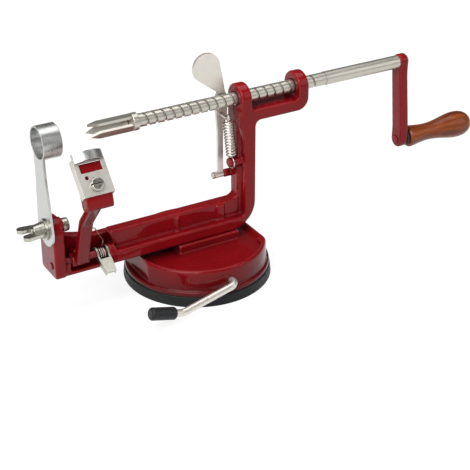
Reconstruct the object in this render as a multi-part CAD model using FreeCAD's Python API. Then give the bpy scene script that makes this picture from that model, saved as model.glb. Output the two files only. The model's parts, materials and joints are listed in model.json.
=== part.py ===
import FreeCAD, Part
import math
import os

# Apple peeler, corer and slicer on a suction foot. Sizes are in millimetres.
# +X runs along the feed screw towards the crank, -Y is the user's side and +Z is up.
# The origin lies on the table, at the centre of the round suction foot.

# Clearances
RUN_CLEAR = 0.06        # radial, between a shaft or pin and its bore
THREAD_CLEAR = 0.15     # between the lever's tooth and the thread groove
SEAT_GAP = 0.3          # between moving pieces that lie beside each other

# Frame casting
SHAFT_Z = 121.4         # height of the feed screw above the table
BEAM_Z = 28.5           # underside of the beam
FLANGE_T = 8.5          # thickness of the rib round the frame
EDGE_R = 1.2            # rounding of the casting's edges
FLANGE_W = 20.5         # width of that rib, along Y
WEB_W = 9.0             # width of the web inside the rib
WEB_TOP_Z = 49.5        # top of the web along the beam
RIBS = ((-18.5, 2.6), (13.0, 6.0))  # place and width of the upright ribs on the web
RIB_RISE = 1.6          # how far they stand out
POST_X = 41.3           # +X face of the post
POST_FOOT_R = 19.0      # rounding where the beam turns up into the post, outside
POST_NOOK_R = 5.0       # and inside, between the beam's and the post's webs
POST_WEB_X = 30.2       # -X face of the web in the post
EAR_1_X = 30.5          # -X face of the ear at the post
EAR_2_X = 83.0          # +X face of the outer ear
EAR_T = 7.9             # thickness of each ear
YOKE_Z = 106.5          # underside of the yoke that carries the outer ear
YOKE_T = 8.0            # thickness of the yoke
END_X = -109.0          # -X face of the end post
END_T = 7.5             # thickness of the end post
END_W = 24.0            # width of the end post
END_TOP_Z = 69.5        # top of the end post

# Pocket for the peeling arm
POCKET_LEFT_X = -97.5
POCKET_RIGHT_X = -69.5
POCKET_FLOOR_Z = 31.0
POCKET_BACK_Y = 4.4
WALL_TOP_Z = 53.0       # top of the wall behind the pocket, at the end post
WALL_LOW_Z = 45.5       # top of that wall beside the beam

# Suction foot
FOOT_R = 51.2           # outer radius of the rubber pad on the table
PAD_H = 7.0             # height of the pad's rim
DOME_R = 47.6           # radius of the dome's wall
DOME_RIM_R = 50.0       # radius of the flange that sits on the pad
DOME_TOP_Z = 25.0       # top rim of the dome
DOME_WALL = 4.0         # wall of the dome
RIM_W = 2.6             # width of the rim round the recess in its top
RECESS_DEPTH = 2.4
DOME_LEFT_X = -45.4     # flat on the dome's left side
DOME_RIGHT_X = 40.8     # flat on its right side, under the post
RECESS_RIGHT_X = 35.5   # right end of the recess, at its floor
RECESS_SLOPE = 3.0      # how far that end slopes outward up to the rim
RECESS_CORNER_R = 9.0
PEDESTAL_X = -19.0      # left end of the pedestal under the beam
PEDESTAL_RIGHT_X = 27.0
FRAME_SCREW_R = 3.0     # screws that hold the frame on the dome
FRAME_SCREW_X = (-12.0, 14.0)

# Suction lever
CAM_Z = 15.5            # height of the cam shaft
CAM_R = 2.5             # radius of the rod
CAM_PIN_R = 1.2         # radius of its eccentric part
CAM_THROW = 1.2         # offset of the eccentric part
LEVER_Y = -54.0         # plane in which the lever's arm swings
LEVER_KNEE_X = -40.0    # bend of the lever's arm
LEVER_KNEE_Z = 5.6
LEVER_END_X = -64.0     # end of the lever's grip
LEVER_END_Z = 12.2
GRIP_R = 4.3
GRIP_LENGTH = 19.0

# Feed screw, fork and crank
PITCH = 6.35            # thread pitch
THREAD_R = 4.5          # crest radius
GROOVE_DEPTH = 0.9
GROOVE_W = 1.9          # width of the groove at the crest
THREAD_START_X = -42.5
SLEEVE_X = 101.1        # shoulder, where the smooth sleeve starts
SLEEVE_STEP = 0.25      # how far the sleeve stands out past the thread's crest
CORE_STEP = 1.0         # how far the plain end of the shaft lies inside the crest
GROOVE_START = 1.7      # from the shaft's end to where the groove starts, at its underside
BACK_PHASE = 0.25       # part of a turn from there to the back of the shaft
CRANK_X = 163.2         # -X face of the crank arm
CRANK_T = 7.0           # thickness of the crank arm
CRANK_THROW = 60.9      # from the shaft to the handle
CRANK_LEAN = 3.6        # how far the arm leans away from the frame at the handle
CRANK_TOP_R = 5.4       # radius of the crank's upper boss
CRANK_LOW_R = 5.8       # radius of the crank's lower boss
CRANK_SCREW_H = 0.7     # height of the crank screw's head
CRANK_SCREW_LAP = 0.8   # how far the head laps over the crank arm's bore
RIVET_R = 3.0           # rivet head of the handle's spindle
RIVET_H = 0.7
FORK_HUB_R = 6.0
FORK_HUB_L = 4.0
FORK_TIP_R = 8.2        # outside radius of the prongs
PRONG_L = 30.0          # length of each prong beyond the hub
PRONG_W = 5.6
PRONG_T = 1.8

# Handle
HANDLE_L = 58.2
HANDLE_START = 2.4      # gap between the crank arm and the wood, for a spacer
WASHER_GAP = 0.2        # play between that washer and the wood
HANDLE_COLLAR_R = 7.8
HANDLE_NECK_R = 6.3
HANDLE_BULB_R = 9.6
SPINDLE_R = 2.6

# Release lever
LEVER_PIVOT_Z = 65.0
LEVER_BACK_Y = 5.6      # front face of the strip
STRIP_T = 2.0
STRIP_X = 22.6          # centre line of the strip
STRIP_HALF = 2.0        # half its width at the pivot
LEVER_EYE_R = 2.2
LEVER_EYE_L = 6.6
LEVER_PIN_R = 1.2
SPOON_X, SPOON_Z, SPOON_R = 12.6, 144.4, 10.0
SPRING_STUD_Z = 77.5
SPRING_STUD_Y = -3.8
SPRING_STUD_R = 3.4
SPRING_STUD_L = 7.2
HOOK_Z = 110.0
HOOK_DX = 0.9           # the spring's hole, from the strip's centre line
HOOK_Y = -0.6
HOOK_R = 2.0            # loop at the spring's upper end
LEVER_SPRING_R = 3.2
LEVER_SPRING_WIRE = 0.46
LEVER_SPRING_TURNS = 12

# Slicer, its bolt and its wing nut
BOLT_Y = -2.8
BOLT_Z = 62.8
BOLT_R = 3.0
BOLT_L = 12.0           # length outside the end post
BOLT_BOSS_L = 2.0       # boss inside the end post
BOLT_HEAD_R = 4.5
SLICER_T = 1.6
SLICER_LOW_R = 11.5
SLICER_HIGH_R = 7.4
SLICER_WAIST_Z = 100.0  # where the plate reaches its narrow width
CORER_R_IN = 10.2       # inside radius of the ring that cuts the core
CORER_T = 0.9
CORER_L = 13.0
WASHER_R = 7.0
WASHER_T = 1.4
NUT_R = 5.6
NUT_L = 7.0
WING_L = 9.0
WING_T = 2.4
WING_SPREAD = 1.4       # how much further apart the wings are at their tips

# Peeling arm
ARM_PIN_Y = -5.0
ARM_PIN_Z = 36.5
ARM_PIN_R = 2.4
ARM_HUB_R = 5.2
ARM_X = -90.0           # centre of the arm
ARM_W = 8.5             # width of the arm, along X
ARM_T = 5.2             # thickness of the arm
ARM_HUB_W = 12.4
ARM_PATH = ((-9.0, 36.5), (-21.0, 71.0), (-35.5, 88.0), (-41.5, 94.5))
HEAD_W = 18.0           # width of the arm's head
HEAD_L = 9.0            # length of the head under the carrier
PEEL_TILT = 48.0        # slope of the blade carrier, in degrees
CARRIER_L = 25.0
CARRIER_T = 1.2
CARRIER_FLANGE = 5.0
CARRIER_FRONT = (-44.4, 100.0)  # y and z of the carrier's lower front edge
PEEL_SCREW_R = 4.4
PEEL_SCREW_Y = 6.6      # along the carrier from its front edge
ARM_EDGE_R = 1.0        # rounding of the arm's edges
TONGUE_T = 3.0          # thickness of the arm's tongue inside the carrier
WINDOW_Y = 15.0         # along the carrier, where its window starts
WINDOW_END = 3.5        # strip of sheet left beyond the window
ARM_SPRING_WIRE = 0.5
ARM_SPRING_PLAY = 0.3   # between the pin and the spring's inside
ARM_SPRING_TURNS = 3.25
ARM_SPRING_LEG = ((-71.8, -4.0, 45.0), (-81.0, -13.4, 60.3), (-88.5, -15.5, 65.0))
LATCH_W = 8.6
LATCH_L = 17.5
LATCH_SLOPE = 27.0      # how far it points down, in degrees
LATCH_T = 1.2
LATCH_DEPTH = 4.4
LATCH_TAPER = 1.4       # how much each side draws in towards the tip

# Lift stud in the foot
STUD_FLANGE_R = 16.0
PAD_FLOOR_Z = 3.4       # inside floor of the suction pad

os.makedirs("parts", exist_ok=True)


def vec(x, y, z):
    return FreeCAD.Vector(x, y, z)


def box(x0, x1, y0, y1, z0, z1):
    return Part.makeBox(x1 - x0, y1 - y0, z1 - z0, vec(x0, y0, z0))


def rod(radius, start, end):
    """A cylinder between two points."""
    run = end - start
    return Part.makeCylinder(radius, run.Length, start, run)


def tube(outer, inner, start, end):
    return rod(outer, start, end).cut(rod(inner, start, end))


def rounded_wire(corners):
    """A closed wire through (point, radius) corners, each rounded by its radius."""
    edges = []
    starts = []
    ends = []
    count = len(corners)
    for i, (point, radius) in enumerate(corners):
        before = (corners[i - 1][0] - point).normalize()
        after = (corners[(i + 1) % count][0] - point).normalize()
        if radius == 0:
            starts.append(point)
            ends.append(point)
            continue
        half = before.getAngle(after) / 2
        reach = radius / math.tan(half)
        middle = (before + after).normalize() * (radius / math.sin(half) - radius)
        start, end = point + before * reach, point + after * reach
        edges.append(Part.Arc(start, point + middle, end).toShape())
        starts.append(start)
        ends.append(end)
    for i in range(count):
        line_start, line_end = ends[i], starts[(i + 1) % count]
        if (line_end - line_start).Length > 1e-6:
            edges.append(Part.LineSegment(line_start, line_end).toShape())
    return Part.Wire(Part.__sortEdges__(edges))


def extruded(wire, run):
    return Part.Face(wire).extrude(run)


def plate_xz(corners, y0, y1):
    """A plate across Y from (x, z, radius) corners."""
    return extruded(rounded_wire([(vec(x, y0, z), r) for x, z, r in corners]), vec(0, y1 - y0, 0))


def plate_yz(corners, x0, x1):
    """A plate across X from (y, z, radius) corners."""
    return extruded(rounded_wire([(vec(x0, y, z), r) for y, z, r in corners]), vec(x1 - x0, 0, 0))


def tapered_link(normal, thickness, centre_a, radius_a, centre_b, radius_b):
    """Two round ends joined by their common tangents, extruded along normal."""
    run = centre_b - centre_a
    along = run * (1 / run.Length)
    side = normal.cross(along)
    lean = math.asin((radius_a - radius_b) / run.Length)
    edges = []
    touch = {}
    for sign in (1, -1):
        out = side * (sign * math.cos(lean)) + along * math.sin(lean)
        touch[sign] = (centre_a + out * radius_a, centre_b + out * radius_b)
        edges.append(Part.LineSegment(*touch[sign]).toShape())
    edges.append(Part.Arc(touch[1][0], centre_a - along * radius_a, touch[-1][0]).toShape())
    edges.append(Part.Arc(touch[1][1], centre_b + along * radius_b, touch[-1][1]).toShape())
    wire = Part.Wire(Part.__sortEdges__(edges))
    return extruded(wire, normal * thickness)


def band_yz(points, thickness, radius, x0, x1):
    """A band of even thickness along (y, z) points, with rounded bends, extruded along X."""
    sides = ([], [])
    for i, (y, z) in enumerate(points):
        here = vec(0, y, z)
        runs = []
        if i > 0:
            runs.append((here - vec(0, *points[i - 1])).normalize())
        if i < len(points) - 1:
            runs.append((vec(0, *points[i + 1]) - here).normalize())
        mean = vec(0, 0, 0)
        for run in runs:
            mean = mean + run
        mean = mean.normalize()
        out = vec(0, -mean.z, mean.y)
        reach = thickness / 2 / math.cos(mean.getAngle(runs[0]))
        bend = radius if len(runs) == 2 else 0
        sides[0].append((y + out.y * reach, z + out.z * reach, bend))
        sides[1].append((y - out.y * reach, z - out.z * reach, bend))
    return plate_yz(sides[0] + sides[1][::-1], x0, x1)


def rounded(shape, radius, chosen):
    """The shape with the edges that chosen() accepts rounded."""
    edges = [edge for edge in shape.Edges if chosen(edge)]
    return shape.makeFillet(radius, edges)


def upright(edge):
    """Whether an edge runs along Z."""
    box_of = edge.BoundBox
    return box_of.ZLength > 1 and box_of.XLength < 0.01 and box_of.YLength < 0.01


def on_plane(axis, *values):
    """A test for edges that lie flat in a plane across the axis."""
    low = {"x": "XMin", "y": "YMin", "z": "ZMin"}[axis]
    high = {"x": "XMax", "y": "YMax", "z": "ZMax"}[axis]

    def chosen(edge):
        bounds = edge.BoundBox
        return any(
            abs(getattr(bounds, low) - value) < 1e-4 and abs(getattr(bounds, high) - value) < 1e-4
            for value in values
        )

    return chosen


def spring_wire(radius, wire_radius, pitch, length, place, turn):
    """A close helical spring along +Z, moved by turn and place."""
    path = Part.makeHelix(pitch, length, radius)
    circle = Part.Circle(vec(radius, 0, 0), vec(0, 1, pitch / (2 * math.pi * radius)), wire_radius)
    section = Part.Wire(circle.toShape())
    coil = Part.Wire(path.Edges).makePipeShell([section], True, True)
    coil.Placement = FreeCAD.Placement(place, turn)
    return coil


def save(name, shape):
    shape = shape.removeSplitter() if shape.ShapeType != "Solid" else shape
    if not shape.isValid():
        raise ValueError(name + " is not a valid solid")
    if len(shape.Solids) != 1:
        raise ValueError(name + " has " + str(len(shape.Solids)) + " solids")
    shape.exportStep("parts/" + name + ".step")
    print(name, round(shape.Volume), shape.BoundBox)


def x_rod(radius, x0, x1, y, z):
    return rod(radius, vec(x0, y, z), vec(x1, y, z))


FLANGE_Y = FLANGE_W / 2
WEB_Y = WEB_W / 2
SLEEVE_R = THREAD_R + SLEEVE_STEP
CORE_R = THREAD_R - CORE_STEP
BORE_R = SLEEVE_R + RUN_CLEAR
ARM_SPRING_R = ARM_PIN_R + ARM_SPRING_PLAY + ARM_SPRING_WIRE


def frame_casting():
    """Beam, post, yoke, two ears and end post, cast in one piece."""
    post_x0 = POST_X - FLANGE_T
    yoke_top = YOKE_Z + YOKE_T
    rib = plate_xz(
        [
            (END_X, BEAM_Z, 3),
            (POST_X, BEAM_Z, POST_FOOT_R),
            (POST_X, YOKE_Z, 4),
            (EAR_2_X, YOKE_Z, 8.5),
            (EAR_2_X, SHAFT_Z, 0),
            (EAR_2_X - EAR_T, SHAFT_Z, 0),
            (EAR_2_X - EAR_T, yoke_top, 2),
            (EAR_1_X + EAR_T, yoke_top, 2),
            (EAR_1_X + EAR_T, SHAFT_Z, 0),
            (EAR_1_X, SHAFT_Z, 0),
            (EAR_1_X, YOKE_Z - 4, 3),
            (post_x0, YOKE_Z - 16, 3),
            (post_x0, BEAM_Z + FLANGE_T, 3),
            (END_X, BEAM_Z + FLANGE_T, 0),
        ],
        -FLANGE_Y,
        FLANGE_Y,
    )
    outer_edge = on_plane("y", -FLANGE_Y, FLANGE_Y)
    rib = rounded(rib, EDGE_R, lambda e: outer_edge(e) and e.BoundBox.ZMin < SHAFT_Z - 0.01)
    web = plate_xz(
        [
            (POCKET_RIGHT_X + 7.5, BEAM_Z + FLANGE_T - 2, 0),
            (POCKET_RIGHT_X + 2.0, WEB_TOP_Z, 1.5),
            (POST_WEB_X, WEB_TOP_Z, POST_NOOK_R),
            (POST_WEB_X, YOKE_Z - 2, 0),
            (POST_X - 3, YOKE_Z - 2, 0),
            (POST_X - 3, BEAM_Z + FLANGE_T - 2, POST_FOOT_R / 2),
        ],
        -WEB_Y,
        WEB_Y,
    )
    web = rounded(web, 1.2, lambda e: on_plane("y", -WEB_Y, WEB_Y)(e) and e.BoundBox.ZMax > WEB_TOP_Z - 1)
    body = rib.fuse(web)
    for x in (EAR_1_X, EAR_2_X - EAR_T):
        ear = rounded(x_rod(FLANGE_Y, x, x + EAR_T, 0, SHAFT_Z), EDGE_R, on_plane("x", x, x + EAR_T))
        body = body.fuse(ear.cut(box(x - 1, x + EAR_T + 1, -20, 20, SHAFT_Z - 20, SHAFT_Z)))
    end_x1 = END_X + END_T
    end_y = END_W / 2
    end_post = plate_yz(
        [
            (-end_y, BEAM_Z, 2.5),
            (end_y, BEAM_Z, 2.5),
            (end_y, END_TOP_Z, end_y - 0.6),
            (-end_y, END_TOP_Z, end_y - 0.6),
        ],
        END_X,
        end_x1,
    )
    end_post = rounded(end_post, 1.0, on_plane("x", END_X, end_x1))
    wall = plate_xz(
        [
            (end_x1 - 2, BEAM_Z + 2, 0),
            (end_x1 - 2, WALL_TOP_Z, 0),
            (POCKET_RIGHT_X - 4, WALL_LOW_Z, 8),
            (POCKET_RIGHT_X + 13, WALL_LOW_Z, 0),
            (POCKET_RIGHT_X + 14, BEAM_Z + 2, 0),
        ],
        POCKET_BACK_Y,
        FLANGE_Y,
    )
    boss = x_rod(ARM_PIN_R + 2.0, POCKET_RIGHT_X, POCKET_RIGHT_X + 5, ARM_PIN_Y, ARM_PIN_Z)
    bolt_boss = x_rod(6.0, end_x1 - 1, end_x1 + BOLT_BOSS_L, BOLT_Y, BOLT_Z)
    bolt_boss = rounded(bolt_boss, 1.0, on_plane("x", end_x1 + BOLT_BOSS_L))
    body = body.fuse([end_post, wall, boss])
    pocket = box(POCKET_LEFT_X, POCKET_RIGHT_X, -FLANGE_Y - 5, POCKET_BACK_Y, POCKET_FLOOR_Z, WALL_TOP_Z + 5)
    body = body.cut(pocket).fuse(bolt_boss)
    for x, width in RIBS:
        rib_z0, rib_z1 = BEAM_Z + FLANGE_T - 1, WEB_TOP_Z - 1.5
        stiffener = box(x, x + width, -WEB_Y - RIB_RISE, WEB_Y + RIB_RISE, rib_z0, rib_z1)
        body = body.fuse(rounded(stiffener, 0.9, lambda e: on_plane("y", -WEB_Y - RIB_RISE, WEB_Y + RIB_RISE)(e)))
    stud = x_rod(SPRING_STUD_R, POST_WEB_X - SPRING_STUD_L, POST_WEB_X + 3, SPRING_STUD_Y, SPRING_STUD_Z)
    body = body.fuse(rounded(stud, 0.8, on_plane("x", POST_WEB_X - SPRING_STUD_L)))
    boss_x = STRIP_X + STRIP_HALF + SEAT_GAP
    lever_boss = x_rod(LEVER_EYE_R + 0.6, boss_x, POST_X - 4, LEVER_BACK_Y + STRIP_T / 2, LEVER_PIVOT_Z)
    body = body.fuse(lever_boss)
    shaft_bore = x_rod(BORE_R, EAR_1_X - 5, EAR_2_X + 5, 0, SHAFT_Z)
    pin_bore = x_rod(ARM_PIN_R, END_X - 1, POCKET_RIGHT_X + 4, ARM_PIN_Y, ARM_PIN_Z)
    bolt_bore = x_rod(BOLT_R, END_X - 1, end_x1 + BOLT_BOSS_L + 1, BOLT_Y, BOLT_Z)
    lever_bore = x_rod(LEVER_PIN_R, boss_x - 1, POST_X - 6, LEVER_BACK_Y + STRIP_T / 2, LEVER_PIVOT_Z)
    body = body.cut([shaft_bore, pin_bore, bolt_bore, lever_bore])
    for x in FRAME_SCREW_X:
        body = body.cut(rod(FRAME_SCREW_R, vec(x, 0, BEAM_Z - 1), vec(x, 0, BEAM_Z + 7)))
    save("frame_casting", body)


def base_dome():
    """Hollow dome with a flange, a pedestal for the beam and bearings for the cam shaft."""
    outer = Part.makeCone(DOME_R + 0.8, DOME_R, DOME_TOP_Z - PAD_H, vec(0, 0, PAD_H))
    outer = rounded(outer, 2.2, on_plane("z", DOME_TOP_Z))
    flange = Part.makeCylinder(DOME_RIM_R, 3.4, vec(0, 0, PAD_H))
    flange = rounded(flange, 1.0, on_plane("z", PAD_H + 3.4))
    body = outer.fuse(flange)
    flat_z = PAD_H + 3.4
    body = body.cut(box(-DOME_R - 8, DOME_LEFT_X, -60, 60, flat_z, DOME_TOP_Z + 5))
    body = body.cut(box(DOME_RIGHT_X, DOME_R + 8, -60, 60, flat_z, DOME_TOP_Z + 5))
    floor_z = DOME_TOP_Z - RECESS_DEPTH
    recess = Part.makeCylinder(DOME_R - RIM_W, 10, vec(0, 0, floor_z))
    recess = recess.cut(box(RECESS_RIGHT_X, 80, -60, 60, 0, 60))
    recess = rounded(recess, RECESS_CORNER_R, lambda e: on_plane("x", RECESS_RIGHT_X)(e) and upright(e))
    body = body.cut(recess)
    slope = plate_xz(
        [
            (RECESS_RIGHT_X - 1, floor_z, 0),
            (RECESS_RIGHT_X, floor_z, 0),
            (RECESS_RIGHT_X + RECESS_SLOPE, DOME_TOP_Z + 0.1, 0),
            (RECESS_RIGHT_X - 1, DOME_TOP_Z + 0.1, 0),
        ],
        -DOME_R * 0.45,
        DOME_R * 0.45,
    )
    body = body.cut(slope)
    pedestal_y = FLANGE_Y + 1.5
    pedestal = box(PEDESTAL_X, PEDESTAL_RIGHT_X, -pedestal_y, pedestal_y, DOME_TOP_Z - 4, BEAM_Z)
    body = body.fuse(rounded(pedestal, 1.2, on_plane("z", BEAM_Z)))
    hollow_r = DOME_R - DOME_WALL
    hollow = Part.makeCylinder(hollow_r, DOME_TOP_Z - DOME_WALL - 1.5, vec(0, 0, 0))
    hollow = hollow.cut(box(-hollow_r - 5, DOME_LEFT_X + DOME_WALL, -60, 60, -1, 60))
    hollow = hollow.cut(box(DOME_RIGHT_X - DOME_WALL, hollow_r + 5, -60, 60, -1, 60))
    for x in FRAME_SCREW_X:
        hollow = hollow.cut(rod(FRAME_SCREW_R + 3.5, vec(x, 0, 15.5), vec(x, 0, 40)))
    bearing = box(-6, 6, 12, 20, CAM_Z - 6, DOME_TOP_Z)
    hollow = hollow.cut(bearing)
    body = body.cut(hollow)
    body = body.cut(rod(CAM_R + RUN_CLEAR, vec(0, -60, CAM_Z), vec(0, 21, CAM_Z)))
    for x in FRAME_SCREW_X:
        body = body.cut(rod(FRAME_SCREW_R, vec(x, 0, 10), vec(x, 0, BEAM_Z + 1)))
    save("base_dome", body)


def base_screws():
    for name, x in zip(("base_screw_left", "base_screw_right"), FRAME_SCREW_X):
        shank = rod(FRAME_SCREW_R, vec(x, 0, 15.5), vec(x, 0, BEAM_Z + 6.5))
        head = rod(FRAME_SCREW_R + 2.6, vec(x, 0, 12.0), vec(x, 0, 15.5))
        head = rounded(head, 1.0, on_plane("z", 12.0))
        slot = box(x - 8, x + 8, -0.6, 0.6, 11, 13.2)
        save(name, head.fuse(shank).cut(slot))


def suction_pad():
    """Rubber disc with a raised rim and a central well for the lift stud."""
    disc = Part.makeCone(FOOT_R, DOME_RIM_R + 0.4, PAD_H)
    disc = rounded(disc, 1.0, on_plane("z", PAD_H))
    hollow_r = DOME_R - DOME_WALL - 1.5
    disc = disc.cut(Part.makeCylinder(hollow_r, 10, vec(0, 0, PAD_FLOOR_Z)))
    cup = Part.makeCone(hollow_r - 1.5, hollow_r - 8, 1.4)
    disc = disc.cut(cup)
    well = Part.makeCylinder(STUD_FLANGE_R + 3.5, 2.0, vec(0, 0, PAD_FLOOR_Z))
    well = well.cut(Part.makeCylinder(STUD_FLANGE_R + SEAT_GAP, 4, vec(0, 0, 3.0)))
    save("suction_pad", disc.fuse(well))


def lift_stud():
    """Steel stud that the cam shaft lifts to make the vacuum."""
    z0 = PAD_FLOOR_Z + SEAT_GAP
    plate = Part.makeCylinder(STUD_FLANGE_R, 1.6, vec(0, 0, z0))
    eye = box(-4.6, 4.6, -4.5, 4.5, z0 + 1, CAM_Z + 1.4)
    low = CAM_Z - CAM_THROW
    half = CAM_PIN_R + 0.35
    window = box(-CAM_R - 0.6, CAM_R + 0.6, -10, 10, low - half, low + half)
    save("lift_stud", plate.fuse(eye).cut(window))


def suction_lever():
    """Bent rod whose shaft carries the cam, and its grip."""
    top = vec(0, LEVER_Y, CAM_Z)
    knee = vec(LEVER_KNEE_X, LEVER_Y, LEVER_KNEE_Z)
    tip = vec(LEVER_END_X, LEVER_Y, LEVER_END_Z)
    inner = vec(0, 19.5, CAM_Z)
    bend_a, bend_b = 4.5, 9.0
    corners = [inner, top, knee, tip - (tip - knee).normalize() * 1.5]
    radii = [0, bend_a, bend_b, 0]
    edges = []
    last = corners[0]
    for i in (1, 2):
        before = (corners[i - 1] - corners[i]).normalize()
        after = (corners[i + 1] - corners[i]).normalize()
        half = before.getAngle(after) / 2
        reach = radii[i] / math.tan(half)
        middle = (before + after).normalize() * (radii[i] / math.sin(half) - radii[i])
        start, end = corners[i] + before * reach, corners[i] + after * reach
        edges.append(Part.LineSegment(last, start).toShape())
        edges.append(Part.Arc(start, corners[i] + middle, end).toShape())
        last = end
    edges.append(Part.LineSegment(last, corners[3]).toShape())
    path = Part.Wire(edges)
    section = Part.Wire(Part.Circle(inner, vec(0, 1, 0), CAM_R).toShape())
    bar = path.makePipeShell([section], True, False)
    neck = rod(CAM_PIN_R, vec(0, -7, CAM_Z - CAM_THROW), vec(0, 7, CAM_Z - CAM_THROW))
    bar = bar.cut(rod(CAM_R + 2, vec(0, -6, CAM_Z), vec(0, 6, CAM_Z))).fuse(neck)
    save("suction_rod", bar)
    along = (tip - knee).normalize()
    grip = rod(GRIP_R, tip - along * GRIP_LENGTH, tip)
    grip = grip.makeFillet(1.8, [e for e in grip.Edges if len(e.Vertexes) == 1 or e.Closed])
    save("suction_grip", grip.cut(rod(CAM_R, tip - along * (GRIP_LENGTH + 1), tip - along * 1.5)))


def feed_screw():
    """Threaded shaft with a plain end for the sleeve and the crank."""
    end_x = CRANK_X + CRANK_T
    thread = x_rod(THREAD_R, THREAD_START_X, SLEEVE_X, 0, SHAFT_Z)
    thread = thread.makeChamfer(0.7, [e for e in thread.Edges if on_plane("x", THREAD_START_X)(e)])
    turns = (SLEEVE_X - THREAD_START_X) / PITCH
    run = (math.floor(turns) - 0.5) * PITCH
    helix = Part.makeHelix(PITCH, run, THREAD_R)
    deep = THREAD_R - GROOVE_DEPTH
    top = THREAD_R + 0.4
    flare = GROOVE_W / 2 * 1.2
    profile = Part.makePolygon(
        [vec(top, 0, -flare), vec(top, 0, flare), vec(deep, 0, 0.5), vec(deep, 0, -0.5), vec(top, 0, -flare)]
    )
    cutter = Part.Wire(helix.Edges).makePipeShell([profile], True, True)
    turn = FreeCAD.Rotation(vec(0, 1, 0), 90)
    cutter.Placement = FreeCAD.Placement(vec(THREAD_START_X + GROOVE_START, 0, SHAFT_Z), turn)
    body = thread.cut(cutter).fuse(x_rod(CORE_R, SLEEVE_X - 0.5, end_x, 0, SHAFT_Z))
    save("feed_screw", body)


def shaft_sleeve():
    body = tube(SLEEVE_R, CORE_R + RUN_CLEAR, vec(SLEEVE_X, 0, SHAFT_Z), vec(CRANK_X, 0, SHAFT_Z))
    save("shaft_sleeve", body)


def fruit_fork():
    """Hub with three flat pointed prongs."""
    hub_x0 = THREAD_START_X - FORK_HUB_L
    hub = x_rod(FORK_HUB_R, hub_x0, THREAD_START_X, 0, SHAFT_Z)
    body = rounded(hub, 0.8, on_plane("x", hub_x0))
    tip_x = hub_x0 - PRONG_L
    for k in range(3):
        prong = plate_xz(
            [
                (hub_x0 + 2, -PRONG_W / 2, 0),
                (tip_x + 7, -PRONG_W / 2, 0),
                (tip_x, 0, 0),
                (tip_x + 7, PRONG_W / 2, 0),
                (hub_x0 + 2, PRONG_W / 2, 0),
            ],
            -PRONG_T / 2,
            PRONG_T / 2,
        )
        prong.translate(vec(0, FORK_HUB_R - PRONG_T, 0))
        prong.rotate(vec(0, 0, 0), vec(1, 0, 0), 90 + 120 * k)
        prong.translate(vec(0, 0, SHAFT_Z))
        body = body.fuse(prong)
    save("fruit_fork", body)


def crank_rim(edge):
    """True for the edges round the crank arm's two broad faces."""
    bounds = edge.BoundBox
    return not (bounds.YLength < 0.01 and bounds.ZLength < 0.01) and not (
        bounds.YLength > CRANK_TOP_R * 1.9 and bounds.ZLength < 0.01
    )


def crank():
    """Crank arm, the screw that holds it and the spindle of its handle."""
    low_z = SHAFT_Z - CRANK_THROW
    outline = tapered_link(
        vec(1, 0, 0),
        CRANK_T + CRANK_LEAN,
        vec(CRANK_X, 0, SHAFT_Z),
        CRANK_TOP_R,
        vec(CRANK_X, 0, low_z),
        CRANK_LOW_R,
    )
    low_x = CRANK_X + CRANK_LEAN
    side = plate_xz(
        [
            (CRANK_X, SHAFT_Z + 10, 0),
            (CRANK_X + CRANK_T, SHAFT_Z + 10, 0),
            (CRANK_X + CRANK_T, SHAFT_Z - CRANK_TOP_R - 3, 12),
            (low_x + CRANK_T, low_z + CRANK_LOW_R + 3, 12),
            (low_x + CRANK_T, low_z - 10, 0),
            (low_x, low_z - 10, 0),
            (low_x, low_z + CRANK_LOW_R + 3, 12),
            (CRANK_X, SHAFT_Z - CRANK_TOP_R - 3, 12),
        ],
        -10,
        10,
    )
    arm = outline.common(side)
    arm = arm.makeFillet(1.3, [e for e in arm.Edges if crank_rim(e)])
    arm = arm.cut(x_rod(CORE_R, CRANK_X - 1, CRANK_X + CRANK_T + 1, 0, SHAFT_Z))
    arm = arm.cut(x_rod(SPINDLE_R, low_x - 1, low_x + CRANK_T + 1, 0, low_z))
    save("crank_arm", arm)
    face = CRANK_X + CRANK_T
    head = x_rod(CORE_R + CRANK_SCREW_LAP, face, face + CRANK_SCREW_H, 0, SHAFT_Z)
    head = rounded(head, CRANK_SCREW_H / 2, on_plane("x", face + CRANK_SCREW_H))
    slot = box(face + CRANK_SCREW_H * 0.4, face + 5, -0.5, 0.5, SHAFT_Z - 8, SHAFT_Z + 8)
    save("crank_screw", head.cut(slot))
    low_face = low_x + CRANK_T
    spindle = x_rod(SPINDLE_R, low_x, low_face + HANDLE_START + HANDLE_L * 0.8, 0, low_z)
    cap = x_rod(RIVET_R, low_x - RIVET_H, low_x, 0, low_z)
    cap = rounded(cap, RIVET_H * 0.8, on_plane("x", low_x - RIVET_H))
    save("handle_spindle", spindle.fuse(cap))
    washer_end = low_face + HANDLE_START - WASHER_GAP
    save("handle_washer", tube(SPINDLE_R + 3.2, SPINDLE_R, vec(low_face, 0, low_z), vec(washer_end, 0, low_z)))


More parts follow.
